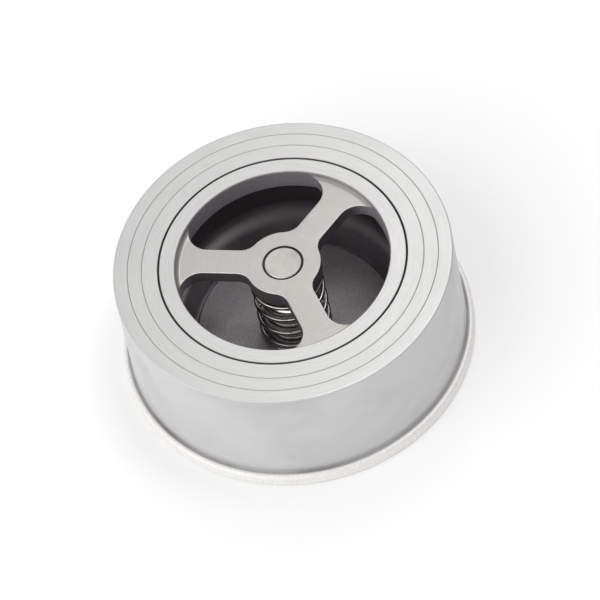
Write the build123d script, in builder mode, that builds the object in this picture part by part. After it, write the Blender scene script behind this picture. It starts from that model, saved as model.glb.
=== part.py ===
from build123d import *
import math
import os

# Spring-loaded wafer lift check valve, DN 50, stainless steel.
#
# The valve is clamped between two pipe flanges. Flow enters through the inlet face at z = 0, lifts the
# disc off its seat against the spring, and leaves through the three windows of the guide spider at the
# outlet face. Origin: centre of the inlet face. +Z runs along the flow. Millimetres.

os.makedirs("parts", exist_ok=True)


def circles(builder, radius):
    """Circular edges of one radius, lowest first."""
    round_edges = builder.edges().filter_by(GeomType.CIRCLE).sort_by(Axis.Z)
    return round_edges.filter_by(lambda edge: math.isclose(edge.radius, radius, abs_tol=0.01))


# ---------------------------------------------------------------- driving dimensions
FACE_TO_FACE = 40.0  # overall length between the two gasket faces
INLET_RADIUS = 26.0  # water way of a DN 50 pipe
WALL_TOP_RADIUS = 50.2  # outside of the casting at the outlet face
WALL_DRAFT = 0.7  # the casting is this much larger in radius above the lip
LIP_RADIUS = 53.25  # centring lip, just inside the flange bolts
LIP_HEIGHT = 4.2
CHAMBER_RADIUS = 34.9  # widest part of the flow chamber
SPIDER_RADIUS = 36.65  # outside of the spider's ring
SPIDER_GAP = 0.1  # radial clearance of the spider in its counterbore
SPIDER_SEAT_Z = 33.0  # shoulder that the ring stands on
WINDOW_RADIUS = 31.8  # inner wall of the ring, outer edge of the windows
SEAT_Z = 3.4  # plane on which the closed disc rests
DISC_RADIUS = 30.2
DISC_TOP_Z = 6.6
STEM_RADIUS = 5.5  # guided upper part of the stem
STEM_BODY_RADIUS = 8.9  # thick lower part, which also centres the spring
LIFT = 7.0  # travel of the disc from closed to fully open
RUNNING_CLEARANCE = 0.05  # radial, stem in its bush

# ---------------------------------------------------------------- derived levels
HUB_FACE_Z = FACE_TO_FACE - 1.9  # arms and hub are turned back from the outlet face
ARM_BOTTOM_Z = HUB_FACE_Z - 4.3
HUB_BOTTOM_Z = HUB_FACE_Z - 6.5
HUB_RADIUS = 11.2
STEM_SHOULDER_Z = HUB_BOTTOM_Z - LIFT
BOSS_TOP_Z = DISC_TOP_Z + 2.6

FINE_CHAMFER = 0.3
WATER_LINE_RADII = (41.7, 45.9)  # fine grooves that bite into the gasket
WATER_LINE_HALF_WIDTH = 0.28
WATER_LINE_DEPTH = 0.3


# ---------------------------------------------------------------- valve body
# Precision casting. One revolved wall holds the inlet throat with its flat seat, the bowl-shaped
# flow chamber, and the counterbore for the spider. Both gasket faces are turned flat.
SEAT_PLATE_EDGE = 0.4  # chamfer on each edge of the inlet bore
BOWL_TOP_Z = 22.0  # the chamber is straight above this level
BOWL_FOOT = (32.2, 5.0)  # where the bowl meets the small radius into the floor
FLOOR_CORNER_RADIUS = 1.2
COUNTERBORE_RADIUS = SPIDER_RADIUS + SPIDER_GAP
RIM_ROUND = 0.6
LIP_ROOT_RADIUS = 1.0
LIP_TOP_ROUND = 1.1
LIP_FOOT_ROUND = 0.8

with BuildPart() as body:
    with BuildSketch(Plane.XZ) as body_section:
        with BuildLine():
            throat = Polyline(
                (INLET_RADIUS + SEAT_PLATE_EDGE, 0),
                (INLET_RADIUS, SEAT_PLATE_EDGE),
                (INLET_RADIUS, SEAT_Z - SEAT_PLATE_EDGE),
                (INLET_RADIUS + SEAT_PLATE_EDGE, SEAT_Z),
                (BOWL_FOOT[0] - FLOOR_CORNER_RADIUS, SEAT_Z),
            )
            TangentArc(throat @ 1, BOWL_FOOT, tangent=(1, 0))
            bowl = TangentArc((CHAMBER_RADIUS, BOWL_TOP_Z), BOWL_FOOT, tangent=(0, -1))
            outside = Polyline(
                bowl @ 0,
                (CHAMBER_RADIUS, SPIDER_SEAT_Z),
                (COUNTERBORE_RADIUS, SPIDER_SEAT_Z),
                (COUNTERBORE_RADIUS, FACE_TO_FACE - FINE_CHAMFER),
                (COUNTERBORE_RADIUS + FINE_CHAMFER, FACE_TO_FACE),
                (WALL_TOP_RADIUS, FACE_TO_FACE),
                (WALL_TOP_RADIUS + WALL_DRAFT, LIP_HEIGHT),
                (LIP_RADIUS, LIP_HEIGHT),
                (LIP_RADIUS, 0),
                throat @ 0,
            )
        make_face()
    revolve(axis=Axis.Z)
    fillet(circles(body, WALL_TOP_RADIUS), radius=RIM_ROUND)
    fillet(circles(body, LIP_RADIUS)[-1], radius=LIP_TOP_ROUND)
    fillet(circles(body, LIP_RADIUS)[0], radius=LIP_FOOT_ROUND)
    fillet(circles(body, WALL_TOP_RADIUS + WALL_DRAFT), radius=LIP_ROOT_RADIUS)
    # V-shaped water lines in both gasket faces
    with BuildSketch(Plane.XZ) as water_lines:
        for line_radius in WATER_LINE_RADII:
            for face_z, inward in ((0.0, 1), (FACE_TO_FACE, -1)):
                with BuildLine():
                    Polyline(
                        (line_radius - WATER_LINE_HALF_WIDTH, face_z),
                        (line_radius, face_z + inward * WATER_LINE_DEPTH),
                        (line_radius + WATER_LINE_HALF_WIDTH, face_z),
                        close=True,
                    )
                make_face()
    revolve(axis=Axis.Z, mode=Mode.SUBTRACT)

# ---------------------------------------------------------------- guide spider
# Cast ring, three arms and hub in one piece. It drops into the counterbore and the pipe flange
# traps it. The arms and the hub face are turned back so that the gasket never touches them.
ARM_COUNT = 3
ARM_WIDTH = 8.4
FIRST_ARM_ANGLE = 30.0
RING_CORNER_RADIUS = 6.3  # where an arm flares into the ring
HUB_CORNER_RADIUS = 5.2  # where an arm flares into the hub
EDGE_BREAK = 0.4  # broken upper edges of the windows
COVE_RADIUS = 1.3
BUSH_RADIUS = 6.35
BUSH_TOP_Z = HUB_FACE_Z - 0.7  # a thin lip above keeps the bush in
HUB_MOUTH_RADIUS = 6.05
PLATE_RADIUS = (WINDOW_RADIUS + SPIDER_RADIUS) / 2

with BuildPart() as guide_spider:
    with BuildSketch(Plane.XY.offset(ARM_BOTTOM_Z)) as arm_plate:
        Circle(PLATE_RADIUS)
        with BuildSketch(Plane.XY.offset(ARM_BOTTOM_Z), mode=Mode.SUBTRACT) as windows:
            Circle(WINDOW_RADIUS)
            Circle(HUB_RADIUS, mode=Mode.SUBTRACT)
            with PolarLocations(0, ARM_COUNT, start_angle=FIRST_ARM_ANGLE):
                Rectangle(PLATE_RADIUS, ARM_WIDTH, align=(Align.MIN, Align.CENTER), mode=Mode.SUBTRACT)
            corners = windows.vertices().sort_by_distance((0, 0, ARM_BOTTOM_Z))
            fillet(corners[2 * ARM_COUNT :], radius=RING_CORNER_RADIUS)
            corners = windows.vertices().sort_by_distance((0, 0, ARM_BOTTOM_Z))
            fillet(corners[: 2 * ARM_COUNT], radius=HUB_CORNER_RADIUS)
    extrude(amount=HUB_FACE_Z - ARM_BOTTOM_Z)
    upper_face = guide_spider.faces().sort_by(Axis.Z)[-1]
    window_edges = ShapeList([edge for wire in upper_face.inner_wires() for edge in wire.edges()])
    chamfer(window_edges, length=EDGE_BREAK)
    # the turning tool leaves a cove where the end of each arm meets the wall of the ring
    with BuildSketch(Plane.XZ):
        with BuildLine():
            Polyline(
                (WINDOW_RADIUS, HUB_FACE_Z + COVE_RADIUS),
                (PLATE_RADIUS, HUB_FACE_Z + COVE_RADIUS),
                (PLATE_RADIUS, HUB_FACE_Z),
                (WINDOW_RADIUS - COVE_RADIUS, HUB_FACE_Z),
            )
            RadiusArc(
                (WINDOW_RADIUS - COVE_RADIUS, HUB_FACE_Z),
                (WINDOW_RADIUS, HUB_FACE_Z + COVE_RADIUS),
                COVE_RADIUS,
            )
        make_face()
    revolve(axis=Axis.Z)
    extrude(windows.sketch, amount=FACE_TO_FACE - ARM_BOTTOM_Z, mode=Mode.SUBTRACT)
    # the ring stands on the shoulder of the body and comes up flush with the outlet face
    with BuildSketch(Plane.XY.offset(SPIDER_SEAT_Z)):
        Circle(SPIDER_RADIUS)
        Circle(WINDOW_RADIUS, mode=Mode.SUBTRACT)
    extrude(amount=FACE_TO_FACE - SPIDER_SEAT_Z)
    ring_edges = guide_spider.edges().filter_by(GeomType.CIRCLE).group_by(Axis.Z)[-1]
    chamfer(ring_edges, length=FINE_CHAMFER)
    # hub boss below the arms: its flat underside is the spring seat and the lift stop
    with BuildSketch(Plane.XY.offset(HUB_BOTTOM_Z)):
        Circle(HUB_RADIUS)
    extrude(amount=ARM_BOTTOM_Z - HUB_BOTTOM_Z)
    with BuildSketch(Plane.XY.offset(HUB_BOTTOM_Z)):
        Circle(BUSH_RADIUS)
    extrude(amount=BUSH_TOP_Z - HUB_BOTTOM_Z, mode=Mode.SUBTRACT)
    with BuildSketch(Plane.XY.offset(HUB_BOTTOM_Z)):
        Circle(HUB_MOUTH_RADIUS)
    extrude(amount=HUB_FACE_Z - HUB_BOTTOM_Z, mode=Mode.SUBTRACT)

# ---------------------------------------------------------------- guide bush
# Thin plain bearing pressed into the hub from below. It carries the stem.
BUSH_RECESS = 0.3  # below the lift stop, so that the stem never strikes it

with BuildPart() as guide_bush:
    with BuildSketch(Plane.XY.offset(HUB_BOTTOM_Z + BUSH_RECESS)):
        Circle(BUSH_RADIUS)
        Circle(STEM_RADIUS + RUNNING_CLEARANCE, mode=Mode.SUBTRACT)
    extrude(amount=BUSH_TOP_Z - HUB_BOTTOM_Z - BUSH_RECESS)

# ---------------------------------------------------------------- disc
# Turned plate with a central boss. The rim's lower face closes on the seat, with a groove for the
# seal; a counterbore below takes the washer and nut that clamp the disc to the stem.
BOSS_EDGE = 0.3
RIM_CHAMFER = 0.6
THREAD_RADIUS = 3.0  # M6
THREAD_HOLE_RADIUS = 3.2
NUT_POCKET_RADIUS = 6.6
WASHER_THICKNESS = 1.6
WASHER_RADIUS = 6.0
NUT_HEIGHT = 3.2  # thin hexagon nut
NUT_ACROSS_FLATS = 10.0
NUT_BOTTOM_Z = 0.8
NUT_TOP_Z = NUT_BOTTOM_Z + NUT_HEIGHT
POCKET_TOP_Z = NUT_TOP_Z + WASHER_THICKNESS
SEAL_MEAN_RADIUS = 28.2
SEAL_CORD_RADIUS = 0.75
SEAL_GROOVE_HALF_WIDTH = 1.0
SEAL_LIFT = 0.02  # the relaxed seal just clears the seat
seal_groove_depth = 2 * SEAL_CORD_RADIUS + SEAL_LIFT

with BuildPart() as disc:
    with BuildSketch(Plane.XZ):
        with BuildLine():
            Polyline(
                (THREAD_HOLE_RADIUS, POCKET_TOP_Z),
                (NUT_POCKET_RADIUS, POCKET_TOP_Z),
                (NUT_POCKET_RADIUS, SEAT_Z),
                (SEAL_MEAN_RADIUS - SEAL_GROOVE_HALF_WIDTH, SEAT_Z),
                (SEAL_MEAN_RADIUS - SEAL_GROOVE_HALF_WIDTH, SEAT_Z + seal_groove_depth),
                (SEAL_MEAN_RADIUS + SEAL_GROOVE_HALF_WIDTH, SEAT_Z + seal_groove_depth),
                (SEAL_MEAN_RADIUS + SEAL_GROOVE_HALF_WIDTH, SEAT_Z),
                (DISC_RADIUS - FINE_CHAMFER, SEAT_Z),
                (DISC_RADIUS, SEAT_Z + FINE_CHAMFER),
                (DISC_RADIUS, DISC_TOP_Z - RIM_CHAMFER),
                (DISC_RADIUS - RIM_CHAMFER, DISC_TOP_Z),
                (STEM_BODY_RADIUS, DISC_TOP_Z),
                (STEM_BODY_RADIUS, BOSS_TOP_Z - BOSS_EDGE),
                (STEM_BODY_RADIUS - BOSS_EDGE, BOSS_TOP_Z),
                (THREAD_HOLE_RADIUS, BOSS_TOP_Z),
                close=True,
            )
        make_face()
    revolve(axis=Axis.Z)

# ---------------------------------------------------------------- disc seal
# O-ring in the groove of the disc's rim.
with BuildPart() as disc_seal:
    with BuildSketch(Plane.XZ):
        with Locations((SEAL_MEAN_RADIUS, SEAT_Z + SEAL_LIFT + SEAL_CORD_RADIUS)):
            Circle(SEAL_CORD_RADIUS)
    revolve(axis=Axis.Z)

# ---------------------------------------------------------------- stem
# Turned bar: threaded spigot through the disc, thick body inside the spring, shoulder that stops
# the lift against the hub, and the guided end that comes flush with the hub face when closed.
SPIGOT_END_Z = 0.4
END_CHAMFER = 0.5
SHOULDER_CHAMFER = 0.5

with BuildPart() as stem:
    with BuildSketch(Plane.XZ):
        with BuildLine():
            Polyline(
                (0, SPIGOT_END_Z),
                (THREAD_RADIUS - END_CHAMFER, SPIGOT_END_Z),
                (THREAD_RADIUS, SPIGOT_END_Z + END_CHAMFER),
                (THREAD_RADIUS, BOSS_TOP_Z),
                (STEM_BODY_RADIUS - BOSS_EDGE, BOSS_TOP_Z),
                (STEM_BODY_RADIUS, BOSS_TOP_Z + BOSS_EDGE),
                (STEM_BODY_RADIUS, STEM_SHOULDER_Z - SHOULDER_CHAMFER),
                (STEM_BODY_RADIUS - SHOULDER_CHAMFER, STEM_SHOULDER_Z),
                (STEM_RADIUS, STEM_SHOULDER_Z),
                (STEM_RADIUS, HUB_FACE_Z - END_CHAMFER),
                (STEM_RADIUS - END_CHAMFER, HUB_FACE_Z),
                (0, HUB_FACE_Z),
                close=True,
            )
        make_face()
    revolve(axis=Axis.Z)

# ---------------------------------------------------------------- washer and nut under the disc
with BuildPart() as disc_washer:
    with BuildSketch(Plane.XY.offset(NUT_TOP_Z)):
        Circle(WASHER_RADIUS)
        Circle(THREAD_HOLE_RADIUS, mode=Mode.SUBTRACT)
    extrude(amount=WASHER_THICKNESS)

nut_corner_radius = NUT_ACROSS_FLATS / math.sqrt(3)
nut_cone_drop = (nut_corner_radius - NUT_ACROSS_FLATS / 2) * math.tan(math.radians(30))

with BuildPart() as disc_nut:
    with BuildSketch(Plane.XY.offset(NUT_BOTTOM_Z)):
        RegularPolygon(radius=nut_corner_radius, side_count=6)
        Circle(THREAD_RADIUS, mode=Mode.SUBTRACT)
    extrude(amount=NUT_HEIGHT)
    # both hexagon faces are turned to a 30 degree cone
    with BuildSketch(Plane.XZ):
        with BuildLine():
            Polyline(
                (0, NUT_BOTTOM_Z),
                (NUT_ACROSS_FLATS / 2, NUT_BOTTOM_Z),
                (nut_corner_radius, NUT_BOTTOM_Z + nut_cone_drop),
                (nut_corner_radius, NUT_TOP_Z - nut_cone_drop),
                (NUT_ACROSS_FLATS / 2, NUT_TOP_Z),
                (0, NUT_TOP_Z),
                close=True,
            )
        make_face()
    revolve(axis=Axis.Z, mode=Mode.INTERSECT)

# ---------------------------------------------------------------- spring
# Right-hand compression spring between the disc and the hub: one closed coil at each end and open
# coils between, with both ends ground flat.
WIRE_RADIUS = 0.7
SPRING_MEAN_RADIUS = 10.25
ACTIVE_TURNS = 3.0
END_PITCH = 2 * WIRE_RADIUS + 0.05
FIRST_TURN_ANGLE = 215.0  # where the wire starts on the disc
spring_length = HUB_BOTTOM_Z - DISC_TOP_Z
active_height = spring_length - 2 * WIRE_RADIUS - 2 * END_PITCH
active_pitch = active_height / ACTIVE_TURNS

with BuildPart() as spring:
    start_z = DISC_TOP_Z + WIRE_RADIUS
    for pitch, height in ((END_PITCH, END_PITCH), (active_pitch, active_height), (END_PITCH, END_PITCH)):
        with BuildLine(Plane.XY.offset(start_z).rotated((0, 0, FIRST_TURN_ANGLE))) as coil_line:
            Helix(pitch=pitch, height=height, radius=SPRING_MEAN_RADIUS)
        coil_path = coil_line.wires()[0]
        with BuildSketch(Plane(origin=coil_path @ 0, z_dir=coil_path % 0)):
            Circle(WIRE_RADIUS)
        sweep(path=coil_path, is_frenet=True)
        start_z += height
    # ground ends
    with Locations((0, 0, DISC_TOP_Z)):
        Cylinder(
            2 * SPRING_MEAN_RADIUS,
            WIRE_RADIUS * 4,
            align=(Align.CENTER, Align.CENTER, Align.MAX),
            mode=Mode.SUBTRACT,
        )
    with Locations((0, 0, HUB_BOTTOM_Z)):
        Cylinder(
            2 * SPRING_MEAN_RADIUS,
            WIRE_RADIUS * 4,
            align=(Align.CENTER, Align.CENTER, Align.MIN),
            mode=Mode.SUBTRACT,
        )

# ---------------------------------------------------------------- one STEP file for each piece
pieces = {
    "body": body,
    "guide_spider": guide_spider,
    "guide_bush": guide_bush,
    "disc": disc,
    "disc_seal": disc_seal,
    "stem": stem,
    "disc_washer": disc_washer,
    "disc_nut": disc_nut,
    "spring": spring,
}
for piece_name, piece in pieces.items():
    piece.part.label = piece_name
    export_step(piece.part, f"parts/{piece_name}.step")
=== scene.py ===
import bmesh
import bpy
import math
from mathutils import Matrix, Vector


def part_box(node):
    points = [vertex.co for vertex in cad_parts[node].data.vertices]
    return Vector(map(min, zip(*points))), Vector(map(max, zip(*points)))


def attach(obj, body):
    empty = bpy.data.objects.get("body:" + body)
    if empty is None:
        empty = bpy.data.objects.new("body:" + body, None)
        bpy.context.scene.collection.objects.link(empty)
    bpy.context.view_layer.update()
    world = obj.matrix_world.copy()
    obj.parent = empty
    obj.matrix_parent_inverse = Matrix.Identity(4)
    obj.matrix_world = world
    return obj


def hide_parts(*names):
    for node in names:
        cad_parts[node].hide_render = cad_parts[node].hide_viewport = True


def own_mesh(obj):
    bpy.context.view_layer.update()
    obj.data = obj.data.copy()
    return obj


# The frame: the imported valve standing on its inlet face, flow along +Z, in metres. The sizes below are in
# millimetres.
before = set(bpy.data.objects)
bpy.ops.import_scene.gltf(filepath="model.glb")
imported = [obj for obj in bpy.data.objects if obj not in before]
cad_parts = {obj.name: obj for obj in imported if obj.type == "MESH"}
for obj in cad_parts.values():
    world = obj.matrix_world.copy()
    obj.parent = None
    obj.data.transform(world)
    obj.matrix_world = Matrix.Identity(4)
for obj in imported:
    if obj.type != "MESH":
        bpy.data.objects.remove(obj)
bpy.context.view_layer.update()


# ---------------------------------------------------------------- valve body
# A stainless investment casting: one revolved wall round a bowl-shaped flow chamber. Both gasket faces,
# the outside and the counterbore at the top are turned; the chamber and the rim of the lip stay as cast.
MM = 0.001
body_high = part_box("body")[1]
LIP_RADIUS = body_high.x / MM
OUTLET_Z = body_high.z / MM
LIP_HEIGHT = 4.2
WALL_TOP_RADIUS = 50.2
WALL_DRAFT = 0.7
COUNTERBORE_RADIUS = 36.75
SPIDER_SEAT_Z = 33.0
CHAMBER_RADIUS = 34.9
INLET_RADIUS = 26.0
SEAT_Z = 3.4
BOWL_TOP_Z = 22.0
BOWL_FOOT = (32.2, 5.0)
SEAT_OUTER_RADIUS = 29.4
BOWL_CORNER_RADIUS = 32.0
LIP_LEDGE = 1.35
WATER_LINE_RADII = (41.7, 45.9)
WATER_LINE_HALF_WIDTH = 0.17
WATER_LINE_DEPTH = 0.12
WATER_LINE_EDGE = 0.04


def add_node(tree, kind, sockets=None, **settings):
    """Adds a node. A socket is set to the value given, or joined to it when that is a node's output."""
    node = tree.nodes.new(kind)
    for key, value in settings.items():
        setattr(node, key, value)
    for key, value in (sockets or {}).items():
        if isinstance(value, bpy.types.NodeSocket):
            tree.links.new(value, node.inputs[key])
        else:
            node.inputs[key].default_value = value
    return node


def geometry(tree, kind, sockets=None, **settings):
    """The first output of a new node of the geometry kinds."""
    return add_node(tree, "GeometryNode" + kind, sockets, **settings).outputs[0]


def value_of(tree, kind, sockets=None, **settings):
    """The first output of a new node of the shader and math kinds."""
    return add_node(tree, "ShaderNode" + kind, sockets, **settings).outputs[0]


def arithmetic(tree, operation, *values):
    """A Math node's output; values are numbers or sockets."""
    return value_of(tree, "Math", dict(enumerate(values)), operation=operation)


def plus(tree, first, second):
    return arithmetic(tree, "ADD", first, second)


def minus(tree, first, second):
    return arithmetic(tree, "SUBTRACT", first, second)


def times(tree, first, second):
    return arithmetic(tree, "MULTIPLY", first, second)


def over(tree, first, second):
    return arithmetic(tree, "DIVIDE", first, second)


def noise(tree, spot, scale, detail, seed=None, **more):
    """A noise texture's value; with a seed it is one slice of a four-dimensional noise."""
    sockets = {"Vector": spot, "Scale": scale, "Detail": detail, **more}
    if seed is None:
        return value_of(tree, "TexNoise", sockets)
    return value_of(tree, "TexNoise", {**sockets, "W": seed}, noise_dimensions="4D")


def parts_of(tree, vector):
    """The three coordinates of a vector."""
    return add_node(tree, "ShaderNodeSeparateXYZ", {0: vector}).outputs


def new_object(name, data):
    """An object in the scene's own collection."""
    added = bpy.data.objects.new(name, data)
    bpy.context.scene.collection.objects.link(added)
    return added


def new_group(name, kind, inputs, outputs):
    """An empty node group with named sockets. Inputs map a name to (socket type, default value)."""
    tree = bpy.data.node_groups.new(name, kind)
    for socket_name, (socket_type, default) in inputs.items():
        kind_name = "NodeSocket" + socket_type
        socket = tree.interface.new_socket(socket_name, in_out="INPUT", socket_type=kind_name)
        if default is not None:
            socket.default_value = default
    for socket_name, socket_type in outputs.items():
        kind_name = "NodeSocket" + socket_type
        tree.interface.new_socket(socket_name, in_out="OUTPUT", socket_type=kind_name)
    return tree, tree.nodes.new("NodeGroupInput").outputs, tree.nodes.new("NodeGroupOutput").inputs


def end_tree(tree, piece, inputs, outputs):
    """Ends a Geometry Nodes tree in Realize Instances and Set Material."""
    real = geometry(tree, "RealizeInstances", {"Geometry": piece})
    painted = {"Geometry": real, "Material": inputs["Material"]}
    painted = geometry(tree, "SetMaterial", painted)
    tree.links.new(painted, outputs[0])


# Geometry Nodes lathe: rounds each corner of a half section by its own radius, then turns it about Z.
# Where the section says that the metal is as cast, the skin gets the slight waviness of a casting.
SHARED_SOCKETS = {
    "Half Section": ("Geometry", None),
    "Turning Radius": ("Float", 0.02),
    "Segments": ("Int", 192),
    "Material": ("Material", None),
}
lathe, lathe_in, lathe_out = new_group(
    "turned_piece",
    "GeometryNodeTree",
    {
        **SHARED_SOCKETS,
        "Corner Steps": ("Int", 4),
        "Cast Relief": ("Float", 0.0),
        "Cast Wave": ("Float", 0.004),
    },
    {"Piece": "Geometry"},
)
section = geometry(lathe, "MeshToCurve", {"Mesh": lathe_in["Half Section"]})
corner = add_node(lathe, "GeometryNodeInputNamedAttribute", {"Name": "corner"}).outputs["Attribute"]
section = geometry(
    lathe,
    "FilletCurve",
    {"Curve": section, "Radius": corner, "Count": lathe_in["Corner Steps"]},
    mode="POLY",
)
place = geometry(lathe, "InputPosition")
place = parts_of(lathe, place)
section_x = minus(lathe, place["X"], lathe_in["Turning Radius"])
section_y = times(lathe, place["Z"], -1.0)
across = value_of(lathe, "CombineXYZ", {"X": section_x, "Y": section_y})
section = geometry(lathe, "SetPosition", {"Geometry": section, "Position": across})
turn = geometry(
    lathe,
    "CurvePrimitiveCircle",
    {"Resolution": lathe_in["Segments"], "Radius": lathe_in["Turning Radius"]},
)
turned = geometry(lathe, "CurveToMesh", {"Curve": turn, "Profile Curve": section})
turned = geometry(lathe, "MergeByDistance", {"Geometry": turned, "Distance": 1e-6})
cast = add_node(lathe, "GeometryNodeInputNamedAttribute", {"Name": "cast"}).outputs["Attribute"]
wave_scale = over(lathe, 1.0, lathe_in["Cast Wave"])
wave = value_of(lathe, "TexNoise", {"Scale": wave_scale, "Detail": 2.0})
height = minus(lathe, wave, 0.5)
height = times(lathe, height, lathe_in["Cast Relief"])
height = times(lathe, height, cast)
normal = geometry(lathe, "InputNormal")
shift = value_of(lathe, "VectorMath", {0: normal, "Scale": height}, operation="SCALE")
turned = geometry(lathe, "SetPosition", {"Geometry": turned, "Offset": shift})
end_tree(lathe, turned, lathe_in, lathe_out)


def turned_blank(tree, inputs, corner_steps):
    """The lathe placed inside another tree and fed from that tree's own inputs."""
    blank = add_node(tree, "GeometryNodeGroup", {"Corner Steps": corner_steps}, node_tree=lathe)
    for shared in SHARED_SOCKETS:
        tree.links.new(inputs[shared], blank.inputs[shared])
    return blank.outputs[0]


def half_section(name, corners, closed):
    """A loop of edges in the XZ plane. Corners are (radius, z, corner radius, as cast 0 to 1)."""
    mesh = bpy.data.meshes.new(name)
    count = len(corners)
    edges = [(i, (i + 1) % count) for i in range(count if closed else count - 1)]
    mesh.from_pydata([(c[0] * MM, 0.0, c[1] * MM) for c in corners], edges, [])
    for attribute, column, unit in (("corner", 2, MM), ("cast", 3, 1.0)):
        values = [(c[column] if len(c) > column else 0.0) * unit for c in corners]
        mesh.attributes.new(attribute, "FLOAT", "POINT").data.foreach_set("value", values)
    return mesh


def make_piece(name, corners, tree, material, sharp_angle=35.0, closed=True, **inputs):
    """Runs a Geometry Nodes tree on a half section and keeps the result as a plain, outward-facing mesh."""
    piece = new_object(name, half_section(name, corners, closed))
    modifier = piece.modifiers.new("make", "NODES")
    modifier.node_group = tree
    wanted = {key.replace("_", " "): value for key, value in inputs.items()}
    wanted["Material"] = material
    for item in tree.interface.items_tree:
        if item.in_out == "INPUT" and item.name in wanted:
            modifier[item.identifier] = wanted[item.name]
    graph = bpy.context.evaluated_depsgraph_get()
    result = bpy.data.meshes.new_from_object(piece.evaluated_get(graph), depsgraph=graph)
    piece.modifiers.remove(modifier)
    soup = bmesh.new()
    soup.from_mesh(result)
    bmesh.ops.remove_doubles(soup, verts=soup.verts, dist=1e-7)
    bmesh.ops.recalc_face_normals(soup, faces=soup.faces)
    soup.to_mesh(result)
    soup.free()
    result.shade_smooth()
    result.set_sharp_from_angle(angle=math.radians(sharp_angle))
    piece.data = result
    # large faces keep their own normal, so that the small rounds beside them carry the whole turn
    weighting = piece.modifiers.new("weighted normals", "WEIGHTED_NORMAL")
    weighting.keep_sharp = True
    graph = bpy.context.evaluated_depsgraph_get()
    piece.data = bpy.data.meshes.new_from_object(piece.evaluated_get(graph), depsgraph=graph)
    piece.modifiers.remove(weighting)
    return piece


# Shader group: where a point lies on the valve: its distance from the axis, its height, its place along X.
station, station_in, station_out = new_group(
    "axis_and_height", "ShaderNodeTree", {}, {"From Axis": "Float", "Height": "Float", "Across": "Float"}
)
spot = add_node(station, "ShaderNodeTexCoord").outputs["Object"]
apart = parts_of(station, spot)
station.links.new(apart["Z"], station_out["Height"])
station.links.new(apart["X"], station_out["Across"])
flat_spot = {0: spot, 1: (1, 1, 0)}
flat_spot = value_of(station, "VectorMath", flat_spot, operation="MULTIPLY")
radius = add_node(station, "ShaderNodeVectorMath", {0: flat_spot}, operation="LENGTH").outputs["Value"]
station.links.new(radius, station_out["From Axis"])

# Shader group: the small chamfers and rounds of turned work, found by the slope of their surface.
edges, edges_in, edges_out = new_group("broken_edges", "ShaderNodeTree", {}, {"Edge": "Float"})
slope = add_node(edges, "ShaderNodeNewGeometry").outputs["True Normal"]
slope = parts_of(edges, slope)["Z"]
slope = arithmetic(edges, "ABSOLUTE", slope)
off_wall = {"Value": slope, "From Min": 0.1, "From Max": 0.3}
off_wall = value_of(edges, "MapRange", off_wall)
off_face = {"Value": slope, "From Min": 0.995, "From Max": 0.95}
off_face = value_of(edges, "MapRange", off_face)
edges.links.new(times(edges, off_wall, off_face), edges_out["Edge"])

# Shader group: fine lathe marks round the axis, one beside the other outwards on a face and up a wall.
marks, marks_in, marks_out = new_group(
    "lathe_marks",
    "ShaderNodeTree",
    {"Feed": ("Float", 0.0004), "Marks Per Turn": ("Float", 6.0), "Seed": ("Float", 0.0)},
    {"Mark": "Float", "Band": "Float"},
)
spot = add_node(marks, "ShaderNodeTexCoord").outputs["Object"]
spot = parts_of(marks, spot)
flat_spot = value_of(marks, "CombineXYZ", {"X": spot["X"], "Y": spot["Y"]})
radius = add_node(marks, "ShaderNodeVectorMath", {0: flat_spot}, operation="LENGTH").outputs["Value"]
around = value_of(marks, "VectorMath", {0: flat_spot}, operation="NORMALIZE")
around = value_of(
    marks, "VectorMath", {0: around, "Scale": marks_in["Marks Per Turn"]}, operation="SCALE"
)
along = plus(marks, radius, spot["Z"])
along = over(marks, along, marks_in["Feed"])
along = plus(marks, along, marks_in["Seed"])
lift = value_of(marks, "CombineXYZ", {"Z": along})
spot = value_of(marks, "VectorMath", {0: around, 1: lift}, operation="ADD")
marks.links.new(noise(marks, spot, 1.0, 3.0, Roughness=0.7), marks_out["Mark"])
wide_spot = {0: spot, 1: (0.4, 0.4, 0.04)}
spot = value_of(marks, "VectorMath", wide_spot, operation="MULTIPLY")
marks.links.new(noise(marks, spot, 1.0, 2.0), marks_out["Band"])

# Shader group: the grain of an investment casting, small round pits over soft lumps, and slow stains.
grain, grain_in, grain_out = new_group(
    "cast_grain",
    "ShaderNodeTree",
    {"Grain Size": ("Float", 0.0006), "Seed": ("Float", 0.0)},
    {"Grain": "Float", "Pits": "Float", "Stain": "Float"},
)
spot = add_node(grain, "ShaderNodeTexCoord").outputs["Object"]
fine = over(grain, 1.0, grain_in["Grain Size"])
lumps = noise(grain, spot, fine, 4.0, grain_in["Seed"], Roughness=0.6)
grain.links.new(lumps, grain_out["Grain"])
coarse = times(grain, fine, 0.35)
pits = add_node(grain, "ShaderNodeTexVoronoi", {"Vector": spot, "Scale": coarse}, feature="SMOOTH_F1")
pits = add_node(grain, "ShaderNodeMapRange", {"Value": pits.outputs["Distance"], "From Max": 0.35})
grain.links.new(pits.outputs[0], grain_out["Pits"])
slow = times(grain, fine, 0.04)
grain.links.new(noise(grain, spot, slow, 3.0, grain_in["Seed"]), grain_out["Stain"])

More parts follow.
